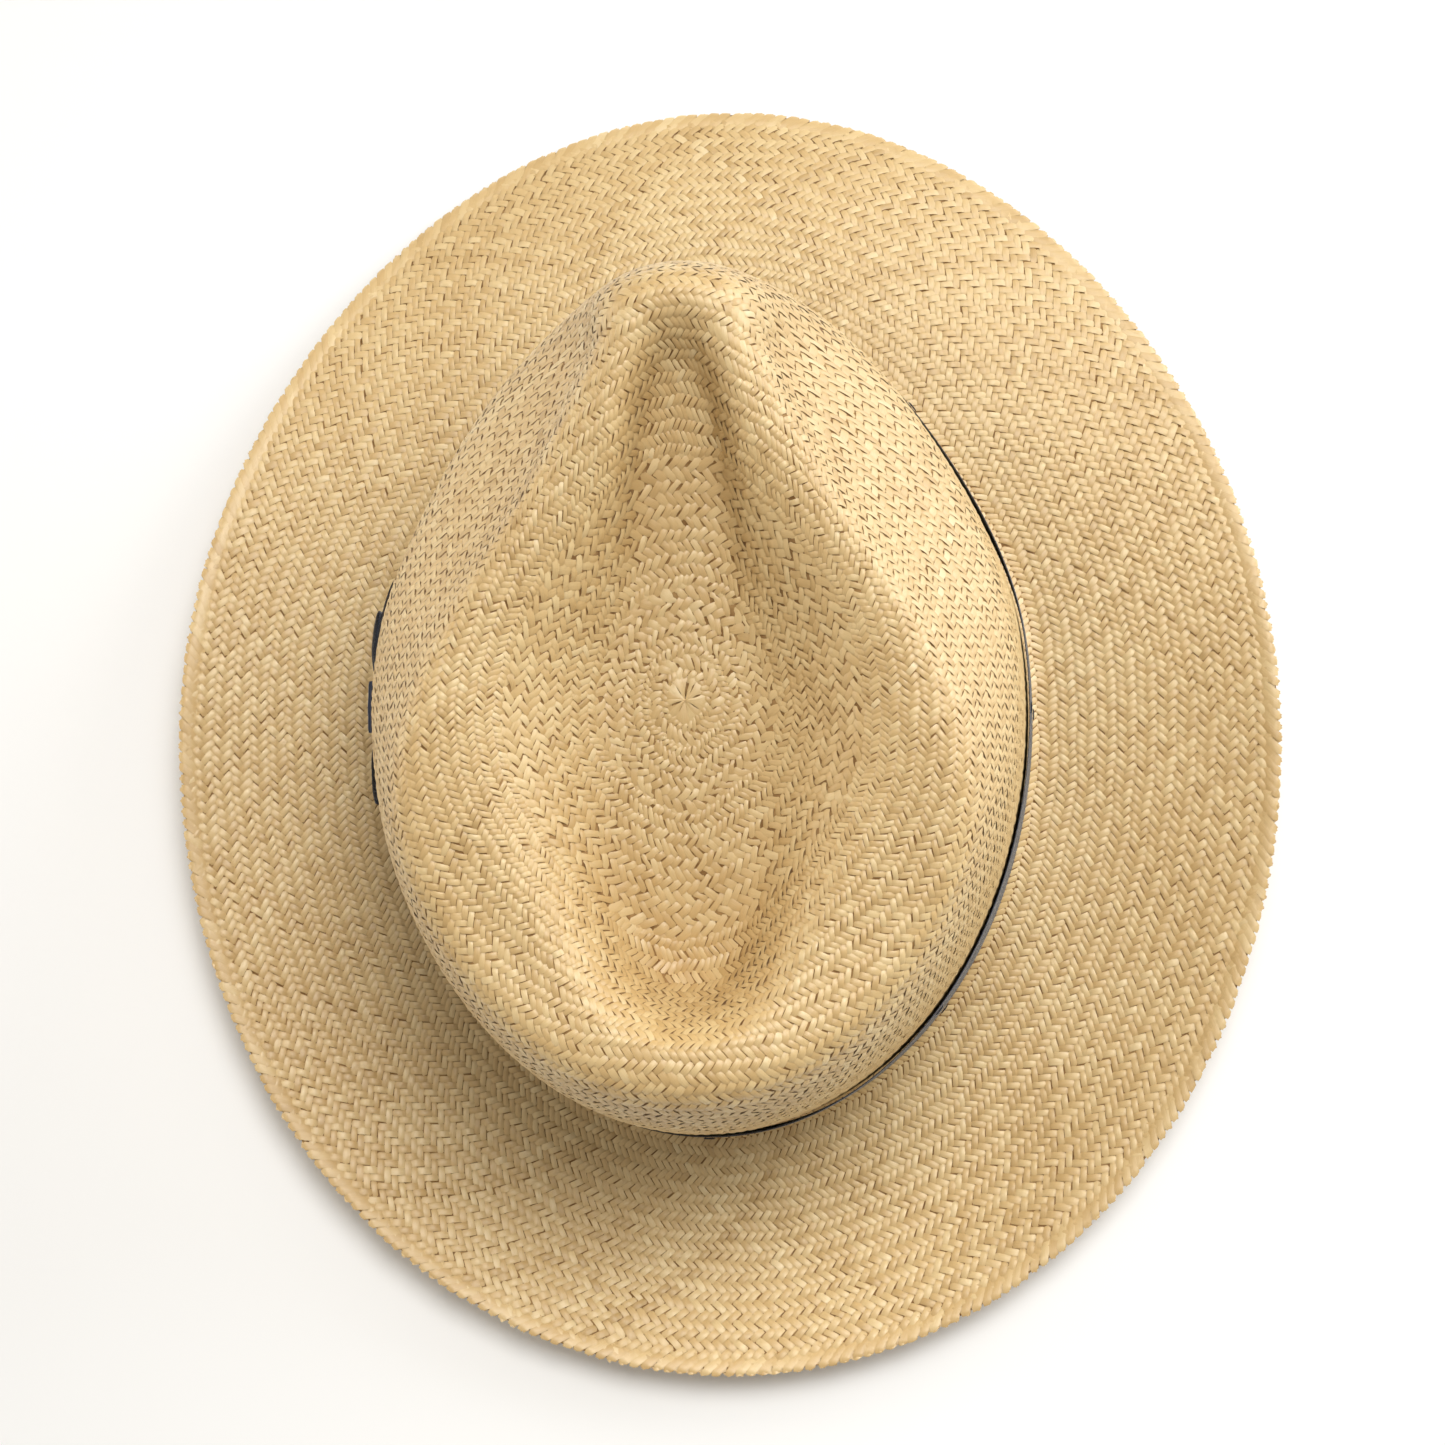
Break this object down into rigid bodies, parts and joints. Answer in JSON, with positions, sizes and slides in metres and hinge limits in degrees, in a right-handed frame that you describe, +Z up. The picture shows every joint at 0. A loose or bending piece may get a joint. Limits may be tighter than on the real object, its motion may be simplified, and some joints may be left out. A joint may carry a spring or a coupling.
{
  "type": "woven straw fedora hat",
  "caption": "Woven straw fedora with a teardrop crown, front pinches, snap brim, ribbon band with a flat side bow, and a leather sweatband inside.",
  "frame": {"origin": "centre of the footprint on the surface that the hat rests on, brim down", "axes": "+Z up out of the crown, -Y to the front of the hat, +X to the wearer's left, where the bow is"},
  "size_m": [0.2856, 0.335, 0.1262],
  "materials": {
    "straw": "woven palm straw, soft sheen",
    "ribbon": "grosgrain ribbon, blue-black",
    "bow_ribbon": "grosgrain ribbon, navy",
    "dark_thread": "sewing thread",
    "sweatband_leather": "smooth tan leather",
    "reed": "matte",
    "tape": "cotton tape",
    "pale_thread": "sewing thread",
    "tag_satin": "blank satin tag"
  },
  "bodies": {
    "root": {"straw_body": "straw", "hat_band": "ribbon", "band_lap": "ribbon", "bow_backing": "ribbon", "bow_tail": "bow_ribbon", "bow_loops": "bow_ribbon", "bow_top_loops": "bow_ribbon", "bow_knot": "bow_ribbon", "band_tacks": "dark_thread", "sweatband": "sweatband_leather", "sweatband_reed": "reed", "reed_tape": "tape", "sweatband_stitching": "pale_thread", "sweatband_seam_tape": "sweatband_leather", "sweatband_bow": "bow_ribbon", "sweatband_bow_knot": "bow_ribbon", "size_tag": "tag_satin"}
  },
  "joints": []
}
